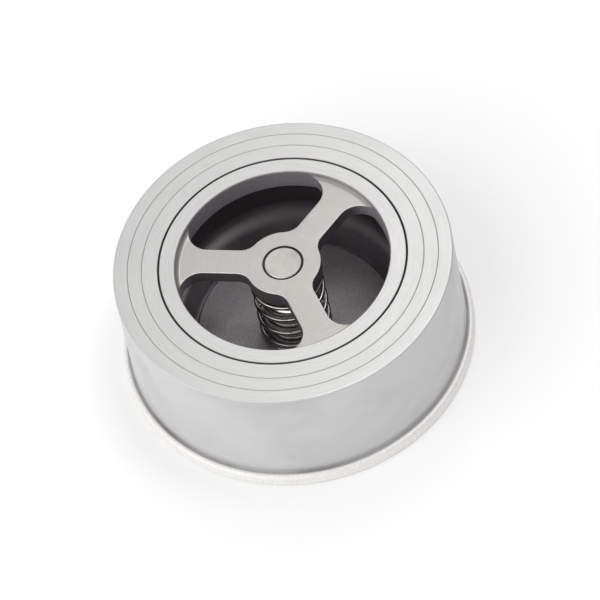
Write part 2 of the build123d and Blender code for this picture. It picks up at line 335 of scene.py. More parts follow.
# Shader group: what handling leaves on machined metal, cloudy finger smears and a few hairline scratches.
handling, handling_in, handling_out = new_group(
    "handling_marks",
    "ShaderNodeTree",
    {"Cloud Size": ("Float", 0.02), "Seed": ("Float", 0.0)},
    {"Smear": "Float", "Scratch": "Float"},
)
spot = add_node(handling, "ShaderNodeTexCoord").outputs["Object"]
cloud = over(handling, 1.0, handling_in["Cloud Size"])
smear = noise(handling, spot, cloud, 4.0, handling_in["Seed"], Distortion=0.6)
smear = {"Value": smear, "From Min": 0.42, "From Max": 0.72}
smear = value_of(handling, "MapRange", smear, interpolation_type="SMOOTHSTEP")
handling.links.new(smear, handling_out["Smear"])
scratch = None
for turn_angle in (0.4, 1.9):
    stretched = value_of(
        handling,
        "Mapping",
        {"Vector": spot, "Rotation": (0.3, 0.5, turn_angle), "Scale": (40.0, 1500.0, 400.0)},
    )
    line = noise(handling, stretched, 1.0, 1.0, handling_in["Seed"])
    line = value_of(handling, "MapRange", {"Value": line, "From Min": 0.70, "From Max": 0.76})
    scratch = line if scratch is None else arithmetic(handling, "MAXIMUM", scratch, line)
handling.links.new(scratch, handling_out["Scratch"])


def new_material(name, **constants):
    """A material with its Principled shader; constants are set straight on the shader's sockets."""
    material = bpy.data.materials.new(name)
    material.use_nodes = True
    shader = material.node_tree.nodes["Principled BSDF"]
    for key, value in constants.items():
        shader.inputs[key.replace("_", " ")].default_value = value
    return material, material.node_tree, shader.inputs


def effect(tree, group, **values):
    """One of the shader groups, placed in a material with its own values."""
    node = add_node(tree, "ShaderNodeGroup", node_tree=group)
    for key, value in values.items():
        node.inputs[key.replace("_", " ")].default_value = value
    return node.outputs


def spread(tree, value, low, high, start=0.0, stop=1.0):
    """Maps a value from start..stop to low..high."""
    sockets = {"Value": value, "From Min": start, "From Max": stop, "To Min": low, "To Max": high}
    return value_of(tree, "MapRange", sockets)


def blend(tree, factor, first, second, kind="FLOAT"):
    """Mixes two values, or two colours where kind is RGBA."""
    node = add_node(tree, "ShaderNodeMix", data_type=kind)
    suffix = {"FLOAT": "_Float", "RGBA": "_Color"}[kind]
    for identifier, value in (("Factor_Float", factor), ("A" + suffix, first), ("B" + suffix, second)):
        socket = next(s for s in node.inputs if s.identifier == identifier)
        if isinstance(value, bpy.types.NodeSocket):
            tree.links.new(value, socket)
        else:
            socket.default_value = value
    return next(s for s in node.outputs if s.identifier == "Result" + suffix)


def two_tone(tree, value, start, stop, first, second):
    """A colour that goes from first to second as a pattern's value goes from start to stop."""
    return blend(tree, spread(tree, value, 0.0, 1.0, start, stop), first, second, "RGBA")


def surface(tree, shader, colour, roughness, height, depth):
    """Joins a material's colour and roughness and the bump of its relief to the shader."""
    normal = value_of(tree, "Bump", {"Height": height, "Distance": depth, "Strength": 1.0})
    for socket, value in (("Base Color", colour), ("Roughness", roughness), ("Normal", normal)):
        tree.links.new(value, shader[socket])


def band(tree, value, middle, half_width, soft):
    """1 within half_width of a level, falling to 0 over soft on both sides. All in millimetres."""
    off = arithmetic(tree, "ABSOLUTE", minus(tree, value, middle * MM))
    return spread(tree, off, 1.0, 0.0, half_width * MM, (half_width + soft) * MM)


PAINTED_HIGHLIGHT_BAND = (14.6, 0.6, 2.8)
SEAM_BAND = (COUNTERBORE_RADIUS, 0.22, 0.16)
ROOT_BAND_ACROSS = (WALL_TOP_RADIUS + WALL_DRAFT + 0.45, 0.2, 0.55)
ROOT_BAND_UP = (LIP_HEIGHT + 0.3, 0.25, 0.9)
WATER_LINE_DIRT = 0.42
TURNED_BRIGHT = (0.70, 0.695, 0.69, 1.0)
TURNED_DULL = (0.62, 0.615, 0.61, 1.0)
EDGE_MATT = (0.64, 0.635, 0.63, 1.0)
GRIME_AND_SHADE = (0.10, 0.09, 0.085, 1.0)
CAST_DARK = (0.17, 0.155, 0.17, 1.0)
CAST_LIGHT = (0.26, 0.24, 0.26, 1.0)
CAST_PAINTED_SHADE = (0.05, 0.043, 0.05, 1.0)
BOWL_PAINTED_HIGHLIGHT = (1.0, 0.96, 0.99, 1.0)
WALL_SMEAR = (0.46, 0.45, 0.465, 1.0)
LIP_DARK = (0.80, 0.79, 0.77, 1.0)
LIP_LIGHT = (0.93, 0.92, 0.90, 1.0)

body_steel, tree, shader = new_material("body_steel", Metallic=1.0)
where = effect(tree, station)
lathe_look = effect(tree, marks, Feed=0.00035, Marks_Per_Turn=5.0)
grain_look = effect(tree, grain, Grain_Size=0.0007)
hand_look = effect(tree, handling, Cloud_Size=0.03)
edge = effect(tree, edges)["Edge"]
as_cast = add_node(tree, "ShaderNodeAttribute", attribute_name="cast").outputs["Fac"]
outside = arithmetic(tree, "GREATER_THAN", where["From Axis"], (CHAMBER_RADIUS + 8) * MM)
turned_colour = two_tone(tree, lathe_look["Mark"], 0.3, 0.7, TURNED_DULL, TURNED_BRIGHT)
turned_colour = blend(tree, edge, turned_colour, EDGE_MATT, "RGBA")
# hands and handling leave cloudy grey smears on the wall
wall_start = (WALL_TOP_RADIUS - 0.4) * MM
on_wall = spread(tree, where["From Axis"], 0.0, 1.0, wall_start, WALL_TOP_RADIUS * MM)
smeared = times(tree, on_wall, spread(tree, hand_look["Smear"], 0.3, 0.7))
turned_colour = blend(tree, smeared, turned_colour, WALL_SMEAR, "RGBA")
# a painted highlight band lies round the foot of the bowl, stronger towards -X and broken up by the stains,
# and the bowl wall under the spider is painted dark as shade
inner_colour = two_tone(tree, grain_look["Stain"], 0.35, 0.65, CAST_DARK, CAST_LIGHT)
# painted highlight: a bright band round the foot of the bowl, stronger towards -X
bowl_highlight = band(tree, where["Height"], *PAINTED_HIGHLIGHT_BAND)
lit_side = spread(tree, where["Across"], 1.0, 0.2, -18.0 * MM, 10.0 * MM)
bowl_highlight = times(tree, bowl_highlight, lit_side)
bowl_highlight = times(tree, bowl_highlight, spread(tree, grain_look["Stain"], 0.7, 1.0, 0.3, 0.6))
inner_colour = blend(tree, bowl_highlight, inner_colour, BOWL_PAINTED_HIGHLIGHT, "RGBA")
# painted shade: the bowl wall is coloured dark from about 18 mm up, where the spider shades it
painted_shade_under_spider = spread(tree, where["Height"], 0.0, 1.0, 17.5 * MM, 21.5 * MM)
inner_colour = blend(tree, painted_shade_under_spider, inner_colour, CAST_PAINTED_SHADE, "RGBA")
lip_colour = two_tone(tree, grain_look["Grain"], 0.35, 0.65, LIP_DARK, LIP_LIGHT)
cast_colour = blend(tree, outside, inner_colour, lip_colour, "RGBA")
colour = blend(tree, as_cast, turned_colour, cast_colour, "RGBA")
# dirt stays in the seam round the spider and in the water lines; the root of the lip gets painted shade
seam_dirt = band(tree, where["From Axis"], *SEAM_BAND)
at_outlet = arithmetic(tree, "GREATER_THAN", where["Height"], BOWL_TOP_Z * MM)
seam_dirt = times(tree, seam_dirt, at_outlet)
# painted shade in the root of the lip, made patchy by the smear pattern
lip_root_shade = times(
    tree,
    band(tree, where["From Axis"], *ROOT_BAND_ACROSS),
    band(tree, where["Height"], *ROOT_BAND_UP),
)
lip_root_shade = times(tree, lip_root_shade, spread(tree, hand_look["Smear"], 0.45, 0.9))
dirt_and_shade = arithmetic(tree, "MAXIMUM", seam_dirt, lip_root_shade)
for line_radius in WATER_LINE_RADII:
    line_dirt = band(tree, where["From Axis"], line_radius, 0.10, 0.10)
    line_dirt = times(tree, line_dirt, WATER_LINE_DIRT)
    dirt_and_shade = arithmetic(tree, "MAXIMUM", dirt_and_shade, line_dirt)
colour = blend(tree, dirt_and_shade, colour, GRIME_AND_SHADE, "RGBA")
turned_roughness = spread(tree, lathe_look["Band"], 0.38, 0.44, 0.35, 0.65)
turned_roughness = plus(tree, turned_roughness, spread(tree, hand_look["Smear"], 0.0, 0.06))
turned_roughness = plus(tree, turned_roughness, times(tree, edge, 0.15))
cast_roughness = spread(tree, grain_look["Grain"], 0.46, 0.64, 0.3, 0.7)
roughness = blend(tree, as_cast, turned_roughness, cast_roughness)
# the wall outside is blasted after turning and scatters more than the faces, the lip more still
turned_shine = spread(tree, on_wall, 1.0, 0.3)
cast_shine = spread(tree, outside, 0.45, 0.35)
tree.links.new(blend(tree, as_cast, turned_shine, cast_shine), shader["Metallic"])
turned_height = times(tree, lathe_look["Mark"], 0.0010 * MM)
cast_height = plus(tree, grain_look["Grain"], spread(tree, grain_look["Pits"], -0.5, 0.0))
cast_height = times(tree, cast_height, 0.035 * MM)
height = blend(tree, as_cast, turned_height, cast_height)
surface(tree, shader, colour, roughness, height, 1.0)

seat_edge = 0.4
fine_chamfer = 0.3
bowl_steps = 12
bowl_drop = BOWL_TOP_Z - BOWL_FOOT[1]
bowl_bulge = CHAMBER_RADIUS - BOWL_FOOT[0]
bowl_radius = (bowl_drop**2 + bowl_bulge**2) / (2 * bowl_bulge)
bowl = []
for step in range(1, bowl_steps):
    bowl_z = BOWL_TOP_Z - bowl_drop * step / bowl_steps
    sag = bowl_radius - math.sqrt(bowl_radius**2 - (BOWL_TOP_Z - bowl_z) ** 2)
    bowl.append((CHAMBER_RADIUS - sag, bowl_z, 0.0, 1.0))


def water_line(line_radius, face_z, inward):
    """The three corners of a V groove, from the bore outwards."""
    half = WATER_LINE_HALF_WIDTH
    return [
        (line_radius - half, face_z, WATER_LINE_EDGE),
        (line_radius, face_z + inward * WATER_LINE_DEPTH, WATER_LINE_EDGE),
        (line_radius + half, face_z, WATER_LINE_EDGE),
    ]


body_corners = [
    (INLET_RADIUS, seat_edge, 0.15),
    (INLET_RADIUS, SEAT_Z - seat_edge, 0.15),
    (INLET_RADIUS + seat_edge, SEAT_Z, 0.15),
    (SEAT_OUTER_RADIUS, SEAT_Z, 0.0),
    (SEAT_OUTER_RADIUS + 0.1, SEAT_Z, 0.0, 1.0),
    (BOWL_CORNER_RADIUS, SEAT_Z, 1.4, 1.0),
    (BOWL_FOOT[0], BOWL_FOOT[1], 0.0, 1.0),
    *reversed(bowl),
    (CHAMBER_RADIUS, BOWL_TOP_Z, 0.0, 1.0),
    (CHAMBER_RADIUS, SPIDER_SEAT_Z - 0.5, 0.0, 1.0),
    (CHAMBER_RADIUS, SPIDER_SEAT_Z - 0.4, 0.0),
    (CHAMBER_RADIUS, SPIDER_SEAT_Z, 0.1),
    (COUNTERBORE_RADIUS, SPIDER_SEAT_Z, 0.1),
    (COUNTERBORE_RADIUS, OUTLET_Z - fine_chamfer, 0.08),
    (COUNTERBORE_RADIUS + fine_chamfer, OUTLET_Z, 0.1),
    *water_line(WATER_LINE_RADII[0], OUTLET_Z, -1),
    *water_line(WATER_LINE_RADII[1], OUTLET_Z, -1),
    (WALL_TOP_RADIUS, OUTLET_Z, 0.6),
    (WALL_TOP_RADIUS + WALL_DRAFT, LIP_HEIGHT, 1.0),
    (LIP_RADIUS - LIP_LEDGE, LIP_HEIGHT, 0.0),
    (LIP_RADIUS - LIP_LEDGE + 0.05, LIP_HEIGHT, 0.0, 1.0),
    (LIP_RADIUS, LIP_HEIGHT, 1.1, 1.0),
    (LIP_RADIUS, LIP_HEIGHT / 2, 0.0, 1.0),
    (LIP_RADIUS, 0.0, 0.8, 1.0),
    (LIP_RADIUS - 1.2, 0.0, 0.0),
    *reversed(water_line(WATER_LINE_RADII[1], 0.0, 1)),
    *reversed(water_line(WATER_LINE_RADII[0], 0.0, 1)),
    (INLET_RADIUS + seat_edge, 0.0, 0.15),
]
valve_body = make_piece(
    "valve_body_casting",
    body_corners,
    lathe,
    body_steel,
    sharp_angle=50.0,
    Turning_Radius=40 * MM,
    Segments=288,
    Corner_Steps=5,
    Cast_Relief=0.06 * MM,
    Cast_Wave=5 * MM,
)
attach(valve_body, "valve_body")
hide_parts("body")


# ---------------------------------------------------------------- guide spider
# Cast in one piece: a ring, three arms and a hub. It drops into the body's counterbore. The top of the
# ring is turned flush with the outlet face, arms and hub are turned back below it, the flanks stay cast.
ARM_COUNT = 3
ARM_WIDTH = 8.4
FIRST_ARM_ANGLE = 30.0
SPIDER_RADIUS = 36.65
WINDOW_RADIUS = 31.8
HUB_RADIUS = 11.2
RING_CORNER_RADIUS = 6.3
HUB_CORNER_RADIUS = 5.2
EDGE_ROUND = 0.26
COVE_RADIUS = 1.3
HUB_FACE_Z = OUTLET_Z - 1.9
ARM_BOTTOM_Z = HUB_FACE_Z - 4.3
HUB_BOTTOM_Z = HUB_FACE_Z - 6.5
BUSH_RADIUS = 6.35
BUSH_TOP_Z = HUB_FACE_Z - 0.7
HUB_MOUTH_RADIUS = 6.05


def arc(centre, arc_radius, start, stop, steps, away=1.0):
    """Points of an arc, each with the direction into the metal beside it. Angles in radians."""
    points = []
    for step in range(steps + 1):
        angle = start + (stop - start) * step / steps
        direction = Vector((math.cos(angle), math.sin(angle)))
        points.append((Vector(centre) + direction * arc_radius, direction * away))
    return points


def half_window():
    """One half of a window's outline, from the middle of its hub side to the middle of its ring side.

    The arm below it lies along +X, so the window's middle is at half the angle between two arms."""
    middle = math.pi / ARM_COUNT
    hub_centre_y = ARM_WIDTH / 2 + HUB_CORNER_RADIUS
    hub_reach = HUB_RADIUS + HUB_CORNER_RADIUS
    hub_centre = Vector((math.sqrt(hub_reach**2 - hub_centre_y**2), hub_centre_y))
    ring_centre_y = ARM_WIDTH / 2 + RING_CORNER_RADIUS
    ring_reach = WINDOW_RADIUS - RING_CORNER_RADIUS
    ring_centre = Vector((math.sqrt(ring_reach**2 - ring_centre_y**2), ring_centre_y))
    hub_touch = math.atan2(hub_centre.y, hub_centre.x)
    ring_touch = math.atan2(ring_centre.y, ring_centre.x)
    outline = arc((0, 0), HUB_RADIUS, middle, hub_touch, 6, away=-1.0)
    outline += arc(hub_centre, HUB_CORNER_RADIUS, hub_touch - math.pi, -math.pi / 2, 12)[1:]
    outline += arc(ring_centre, RING_CORNER_RADIUS, -math.pi / 2, ring_touch, 14)
    outline += arc((0, 0), WINDOW_RADIUS, ring_touch, middle, 10)[1:]
    return outline


def window_cutter():
    """A closed plug of the shape of one window, flared where the arm's upper edge is rounded."""
    middle = math.pi / ARM_COUNT
    axis = Vector((math.cos(middle), math.sin(middle)))
    near = half_window()
    far = [(p.reflect(axis) * -1.0, d.reflect(axis) * -1.0) for p, d in reversed(near[1:-1])]
    loop = near + far
    round_steps = 4
    overrun = 2.0
    fade_length = 2.0
    levels = [(HUB_BOTTOM_Z - overrun, 0.0)]
    for step in range(round_steps + 1):
        angle = math.pi / 2 * step / round_steps
        drop = EDGE_ROUND * (1 - math.sin(angle))
        levels.append((HUB_FACE_Z - drop, EDGE_ROUND * (1 - math.cos(angle))))
    levels.append((OUTLET_Z + overrun, EDGE_ROUND))
    soup = bmesh.new()
    rows = []
    for level_z, flare in levels:
        row = []
        for point, into_metal in loop:
            fade = min(1.0, max(0.0, (WINDOW_RADIUS - point.length) / fade_length))
            spot = point + into_metal * flare * fade
            row.append(soup.verts.new((spot.x * MM, spot.y * MM, level_z * MM)))
        rows.append(row)
    count = len(loop)
    for lower, upper in zip(rows, rows[1:]):
        for i in range(count):
            j = (i + 1) % count
            soup.faces.new((lower[i], lower[j], upper[j], upper[i]))
    soup.faces.new(reversed(rows[0]))
    soup.faces.new(rows[-1])
    bmesh.ops.recalc_face_normals(soup, faces=soup.faces)
    mesh = bpy.data.meshes.new("window_cutter")
    soup.to_mesh(mesh)
    soup.free()
    cutter = new_object("window_cutter", mesh)
    return cutter


# Geometry Nodes: the spider's blank is turned, then a window plug is cut away between each two arms.
spidering, spider_in, spider_out = new_group(
    "guide_spider",
    "GeometryNodeTree",
    {
        **SHARED_SOCKETS,
        "Window Plug": ("Object", None),
        "Arms": ("Int", 3),
        "First Arm": ("Float", 0.0),
    },
    {"Piece": "Geometry"},
)
blank = turned_blank(spidering, spider_in, 4)
plug = add_node(spidering, "GeometryNodeObjectInfo", {"Object": spider_in["Window Plug"]})
plug = plug.outputs["Geometry"]
spots = geometry(spidering, "Points", {"Count": spider_in["Arms"]})
index = geometry(spidering, "InputIndex")
step_angle = over(spidering, 2 * math.pi, spider_in["Arms"])
plug_angle = arithmetic(spidering, "MULTIPLY_ADD", index, step_angle, spider_in["First Arm"])
plug_turn = value_of(spidering, "CombineXYZ", {"Z": plug_angle})
plugs = geometry(
    spidering, "InstanceOnPoints", {"Points": spots, "Instance": plug, "Rotation": plug_turn}
)
plugs = geometry(spidering, "RealizeInstances", {"Geometry": plugs})
cut = geometry(
    spidering,
    "MeshBoolean",
    {"Mesh 1": blank, "Mesh 2": plugs},
    operation="DIFFERENCE",
    solver="EXACT",
)
end_tree(spidering, cut, spider_in, spider_out)

FLANK_DARK = (0.26, 0.235, 0.26, 1.0)
FLANK_LIGHT = (0.36, 0.33, 0.355, 1.0)
FLANK_PAINTED_SHADE = (0.11, 0.10, 0.11, 1.0)
EDGE_PAINTED_HIGHLIGHT = (0.68, 0.665, 0.65, 1.0)
COVE_MATT = (0.40, 0.39, 0.38, 1.0)
ARM_SHADED_BRIGHT = (0.57, 0.55, 0.53, 1.0)
ARM_SHADED_DULL = (0.50, 0.48, 0.465, 1.0)

spider_steel, tree, shader = new_material("spider_steel", Metallic=1.0)
where = effect(tree, station)
lathe_look = effect(tree, marks, Feed=0.0004, Marks_Per_Turn=4.0, Seed=11.0)
grain_look = effect(tree, grain, Grain_Size=0.0006, Seed=3.0)
hand_look = effect(tree, handling, Cloud_Size=0.012, Seed=2.0)
edge = effect(tree, edges)["Edge"]
facing = add_node(tree, "ShaderNodeNewGeometry").outputs["True Normal"]
up = parts_of(tree, facing)
as_turned = spread(tree, arithmetic(tree, "ABSOLUTE", up["Z"]), 0.0, 1.0, 0.12, 0.4)
line_mask = spread(tree, lathe_look["Mark"], 0.0, 1.0, 0.3, 0.7)
ring_colour = blend(tree, line_mask, TURNED_DULL, TURNED_BRIGHT, "RGBA")
# painted shade: arms and hub are the ring's turned steel, coloured darker and warmer because they lie below
# the ring
arm_shaded_colour = blend(tree, line_mask, ARM_SHADED_DULL, ARM_SHADED_BRIGHT, "RGBA")
ring_levels = ((HUB_FACE_Z + 0.2) * MM, (HUB_FACE_Z + 0.9) * MM)
on_ring = spread(tree, where["Height"], 0.0, 1.0, *ring_levels)
turned_colour = blend(tree, on_ring, arm_shaded_colour, ring_colour, "RGBA")
# the cove where an arm runs out into the ring is blasted, the other edges get a painted highlight
cove_levels = ((WINDOW_RADIUS - COVE_RADIUS) * MM, (WINDOW_RADIUS - 1.0) * MM)
in_cove = spread(tree, where["From Axis"], 0.0, 1.0, *cove_levels)
in_cove = times(tree, in_cove, edge)
turned_colour = blend(tree, edge, turned_colour, EDGE_PAINTED_HIGHLIGHT, "RGBA")
turned_colour = blend(tree, in_cove, turned_colour, COVE_MATT, "RGBA")
flank_colour = two_tone(tree, grain_look["Grain"], 0.3, 0.7, FLANK_DARK, FLANK_LIGHT)
# painted shade: the cast flanks are coloured darker towards the hub, under the spider
off_ring = spread(tree, where["From Axis"], 1.0, 0.0, 27.0 * MM, 31.0 * MM)
flank_colour = blend(tree, off_ring, flank_colour, FLANK_PAINTED_SHADE, "RGBA")
colour = blend(tree, as_turned, flank_colour, turned_colour, "RGBA")
seam_dirt = band(tree, where["From Axis"], SPIDER_RADIUS, 0.12, 0.16)
mouth_dirt = band(tree, where["From Axis"], HUB_MOUTH_RADIUS, 0.05, 0.08)
seam_dirt = arithmetic(tree, "MAXIMUM", seam_dirt, mouth_dirt)
colour = blend(tree, seam_dirt, colour, GRIME_AND_SHADE, "RGBA")
turned_roughness = spread(tree, lathe_look["Band"], 0.38, 0.44, 0.35, 0.65)
turned_roughness = plus(tree, turned_roughness, spread(tree, hand_look["Smear"], 0.0, 0.08))
turned_roughness = plus(tree, turned_roughness, times(tree, in_cove, 0.25))
flank_roughness = spread(tree, grain_look["Stain"], 0.5, 0.68, 0.3, 0.7)
roughness = blend(tree, as_turned, flank_roughness, turned_roughness)
tree.links.new(spread(tree, as_turned, 0.45, 1.0), shader["Metallic"])
turned_height = times(tree, lathe_look["Mark"], 0.0015 * MM)
flank_height = times(tree, grain_look["Grain"], 0.05 * MM)
height = blend(tree, as_turned, flank_height, turned_height)
surface(tree, shader, colour, roughness, height, 1.0)

plate_radius = WINDOW_RADIUS - 0.03  # the blank stays a hair inside the ring's wall, which it becomes
boss_radius = HUB_RADIUS - 0.2
cove = []
cove_steps = 6
for step in range(cove_steps + 1):
    angle = math.pi / 2 * step / cove_steps
    cove_r = plate_radius - COVE_RADIUS + COVE_RADIUS * math.sin(angle)
    cove.append((cove_r, HUB_FACE_Z + COVE_RADIUS - COVE_RADIUS * math.cos(angle), 0.0))
spider_corners = [
    (BUSH_RADIUS, HUB_BOTTOM_Z, 0.15),
    (boss_radius, HUB_BOTTOM_Z, 0.3),
    (boss_radius, ARM_BOTTOM_Z, 0.1),
    (plate_radius, ARM_BOTTOM_Z, 0.3),
    (plate_radius, SPIDER_SEAT_Z, 0.1),
    (SPIDER_RADIUS, SPIDER_SEAT_Z, 0.2),
    (SPIDER_RADIUS, OUTLET_Z - fine_chamfer, 0.08),
    (SPIDER_RADIUS - fine_chamfer, OUTLET_Z, 0.1),
    (plate_radius + fine_chamfer, OUTLET_Z, 0.1),
    (plate_radius, OUTLET_Z - fine_chamfer, 0.08),
    *reversed(cove),
    (HUB_MOUTH_RADIUS, HUB_FACE_Z, 0.1),
    (HUB_MOUTH_RADIUS, BUSH_TOP_Z, 0.05),
    (BUSH_RADIUS, BUSH_TOP_Z, 0.05),
]
window_plug = window_cutter()
guide_spider = make_piece(
    "guide_spider_casting",
    spider_corners,
    spidering,
    spider_steel,
    Window_Plug=window_plug,
    Arms=ARM_COUNT,
    First_Arm=math.radians(FIRST_ARM_ANGLE),
    Segments=240,
    Turning_Radius=20 * MM,
)
bpy.data.objects.remove(window_plug)
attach(guide_spider, "valve_body")
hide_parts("guide_spider")


# ---------------------------------------------------------------- guide bush
# A thin plain bearing of carbon-filled plastic, pressed into the hub from below. The stem slides and
# turns in it. It is turned from rod, so its faces show faint rings.
STEM_RADIUS = 5.5
RUNNING_CLEARANCE = 0.05
BUSH_RECESS = 0.3

BUSH_BLACK = (0.030, 0.030, 0.033, 1.0)
BUSH_GREY = (0.060, 0.060, 0.064, 1.0)
bush_plastic, tree, shader = new_material("bush_plastic", Metallic=0.0, IOR=1.45)
lathe_look = effect(tree, marks, Feed=0.0002, Marks_Per_Turn=8.0, Seed=5.0)
grain_look = effect(tree, grain, Grain_Size=0.0003, Seed=8.0)
colour = blend(tree, grain_look["Grain"], BUSH_BLACK, BUSH_GREY, "RGBA")
roughness = spread(tree, lathe_look["Mark"], 0.42, 0.62)
surface(tree, shader, colour, roughness, lathe_look["Mark"], 0.006 * MM)

bush_bore = STEM_RADIUS + RUNNING_CLEARANCE
bush_corners = [
    (bush_bore, HUB_BOTTOM_Z + BUSH_RECESS, 0.2),
    (BUSH_RADIUS - 0.01, HUB_BOTTOM_Z + BUSH_RECESS, 0.1),
    (BUSH_RADIUS - 0.01, BUSH_TOP_Z - 0.01, 0.1),
    (bush_bore, BUSH_TOP_Z - 0.01, 0.2),
]
guide_bush = make_piece(
    "guide_bush_turned",
    bush_corners,
    lathe,
    bush_plastic,
    Turning_Radius=6 * MM,
    Segments=96,
)
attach(guide_bush, "valve_body")
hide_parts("guide_bush")


# ---------------------------------------------------------------- stem
# Turned from bright bar: a spigot with the M6 thread goes through the disc, the thick body keeps the
# spring straight, its shoulder stops the lift, and the thin end runs in the bush up to the hub face.
STEM_BODY_RADIUS = 8.9
THREAD_RADIUS = 3.0
THREAD_PITCH = 1.0
THREAD_DEPTH = 0.55
SPIGOT_END_Z = 0.4
DISC_TOP_Z = 6.6
BOSS_TOP_Z = DISC_TOP_Z + 2.6
LIFT = 7.0
STEM_SHOULDER_Z = HUB_BOTTOM_Z - LIFT
STOP_CLEARANCE = 0.02
SHOULDER_ROUND = 3.1
END_CHAMFER = 0.2

# Geometry Nodes: the turned stem gets its thread by drawing the spigot's skin in along a helix.
threading, thread_in, thread_out = new_group(
    "threaded_stem",
    "GeometryNodeTree",
    {
        **SHARED_SOCKETS,
        "Thread Top": ("Float", 0.002),
        "Pitch": ("Float", 0.001),
        "Depth": ("Float", 0.0005),
        "Thread Radius": ("Float", 0.003),
    },
    {"Piece": "Geometry"},
)
bar = turned_blank(threading, thread_in, 8)
place = geometry(threading, "InputPosition")
coordinates = parts_of(threading, place)
flat_place = {"X": coordinates["X"], "Y": coordinates["Y"]}
flat_place = value_of(threading, "CombineXYZ", flat_place)
from_axis = add_node(threading, "ShaderNodeVectorMath", {0: flat_place}, operation="LENGTH")
from_axis = from_axis.outputs["Value"]
angle = arithmetic(threading, "ARCTAN2", coordinates["Y"], coordinates["X"])
turns = over(threading, angle, 2 * math.pi)
rise = over(threading, coordinates["Z"], thread_in["Pitch"])
turns = minus(threading, rise, turns)
groove = arithmetic(threading, "PINGPONG", turns, 0.5)
deepest = times(threading, thread_in["Depth"], -2.0)
groove = times(threading, groove, deepest)
on_spigot = arithmetic(threading, "LESS_THAN", coordinates["Z"], thread_in["Thread Top"])
at_skin = over(threading, from_axis, thread_in["Thread Radius"])
on_thread = times(threading, on_spigot, at_skin)
groove = times(threading, groove, on_thread)
outward = value_of(threading, "VectorMath", {0: flat_place}, operation="NORMALIZE")
draw_in = {0: outward, "Scale": groove}
draw_in = value_of(threading, "VectorMath", draw_in, operation="SCALE")
cut = geometry(threading, "SetPosition", {"Geometry": bar, "Offset": draw_in})
end_tree(threading, cut, thread_in, thread_out)

STEM_BRIGHT = (0.74, 0.73, 0.71, 1.0)
STEM_DULL = (0.62, 0.61, 0.59, 1.0)
END_BRIGHT = (0.56, 0.545, 0.52, 1.0)
END_DULL = (0.45, 0.435, 0.42, 1.0)
stem_steel, tree, shader = new_material("stem_steel", Metallic=1.0)
lathe_look = effect(tree, marks, Feed=0.00022, Marks_Per_Turn=3.0, Seed=21.0)
hand_look = effect(tree, handling, Cloud_Size=0.006, Seed=4.0)
colour = two_tone(tree, lathe_look["Mark"], 0.3, 0.7, STEM_DULL, STEM_BRIGHT)
end_colour = blend(tree, hand_look["Smear"], END_BRIGHT, END_DULL, "RGBA")
where = effect(tree, station)
on_end = arithmetic(tree, "GREATER_THAN", where["Height"], BUSH_TOP_Z * MM)
colour = blend(tree, on_end, colour, end_colour, "RGBA")
polished = spread(tree, lathe_look["Band"], 0.05, 0.09, 0.3, 0.7)
end_finish = spread(tree, hand_look["Smear"], 0.34, 0.46)
roughness = blend(tree, on_end, polished, end_finish)
surface(tree, shader, colour, roughness, lathe_look["Mark"], 0.0005 * MM)

thread_top = 1.8
thread_rows = 14
spigot_chamfer = 0.35
thread_foot = SPIGOT_END_Z + spigot_chamfer
spigot = []
for step in range(thread_rows + 1):
    spigot.append((THREAD_RADIUS, thread_foot + (thread_top - thread_foot) * step / thread_rows, 0.0))
stem_corners = [
    (0.0, SPIGOT_END_Z, 0.0),
    (THREAD_RADIUS - spigot_chamfer, SPIGOT_END_Z, 0.1),
    *spigot,
    (THREAD_RADIUS, BOSS_TOP_Z, 0.0),
    (STEM_BODY_RADIUS, BOSS_TOP_Z, 0.3),
    (STEM_BODY_RADIUS, STEM_SHOULDER_Z - STOP_CLEARANCE, SHOULDER_ROUND),
    (STEM_RADIUS, STEM_SHOULDER_Z - STOP_CLEARANCE, 0.15),
    (STEM_RADIUS, HUB_FACE_Z - END_CHAMFER, 0.08),
    (STEM_RADIUS - END_CHAMFER, HUB_FACE_Z, 0.08),
    (0.0, HUB_FACE_Z, 0.0),
]
stem = make_piece(
    "stem_turned",
    stem_corners,
    threading,
    stem_steel,
    closed=False,
    Thread_Top=thread_top * MM,
    Pitch=THREAD_PITCH * MM,
    Depth=THREAD_DEPTH * MM,
    Thread_Radius=THREAD_RADIUS * MM,
    Segments=128,
    Turning_Radius=5 * MM,
)
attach(stem, "disc_assembly")
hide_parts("stem")


# ---------------------------------------------------------------- disc
# Turned stainless plate with a boss that the stem stands on. Its rim closes on the flat seat round the
# inlet, with a groove for the seal; the washer and nut sit in a counterbore below.
DISC_RADIUS = 30.2
NUT_POCKET_RADIUS = 6.6
THREAD_HOLE_RADIUS = 3.2
NUT_BOTTOM_Z = 0.8
NUT_TOP_Z = 4.0
WASHER_TOP_Z = 5.6
SEAL_RADIUS = 28.2
SEAL_GROOVE_HALF_WIDTH = 1.0
SEAL_GROOVE_DEPTH = 1.52

DISC_DARK = (0.29, 0.275, 0.29, 1.0)
DISC_LIGHT = (0.45, 0.43, 0.445, 1.0)
disc_steel, tree, shader = new_material("disc_steel", Metallic=1.0)
lathe_look = effect(tree, marks, Feed=0.0005, Marks_Per_Turn=4.0, Seed=31.0)
grain_look = effect(tree, grain, Grain_Size=0.0005, Seed=6.0)
shade = times(tree, lathe_look["Mark"], 0.25)
shade = arithmetic(tree, "MULTIPLY_ADD", grain_look["Grain"], 0.75, shade)
colour = two_tone(tree, shade, 0.36, 0.64, DISC_DARK, DISC_LIGHT)
roughness = spread(tree, grain_look["Stain"], 0.42, 0.56, 0.3, 0.7)
disc_height = arithmetic(tree, "MULTIPLY_ADD", lathe_look["Mark"], 0.15, grain_look["Grain"])
surface(tree, shader, colour, roughness, disc_height, 0.015 * MM)

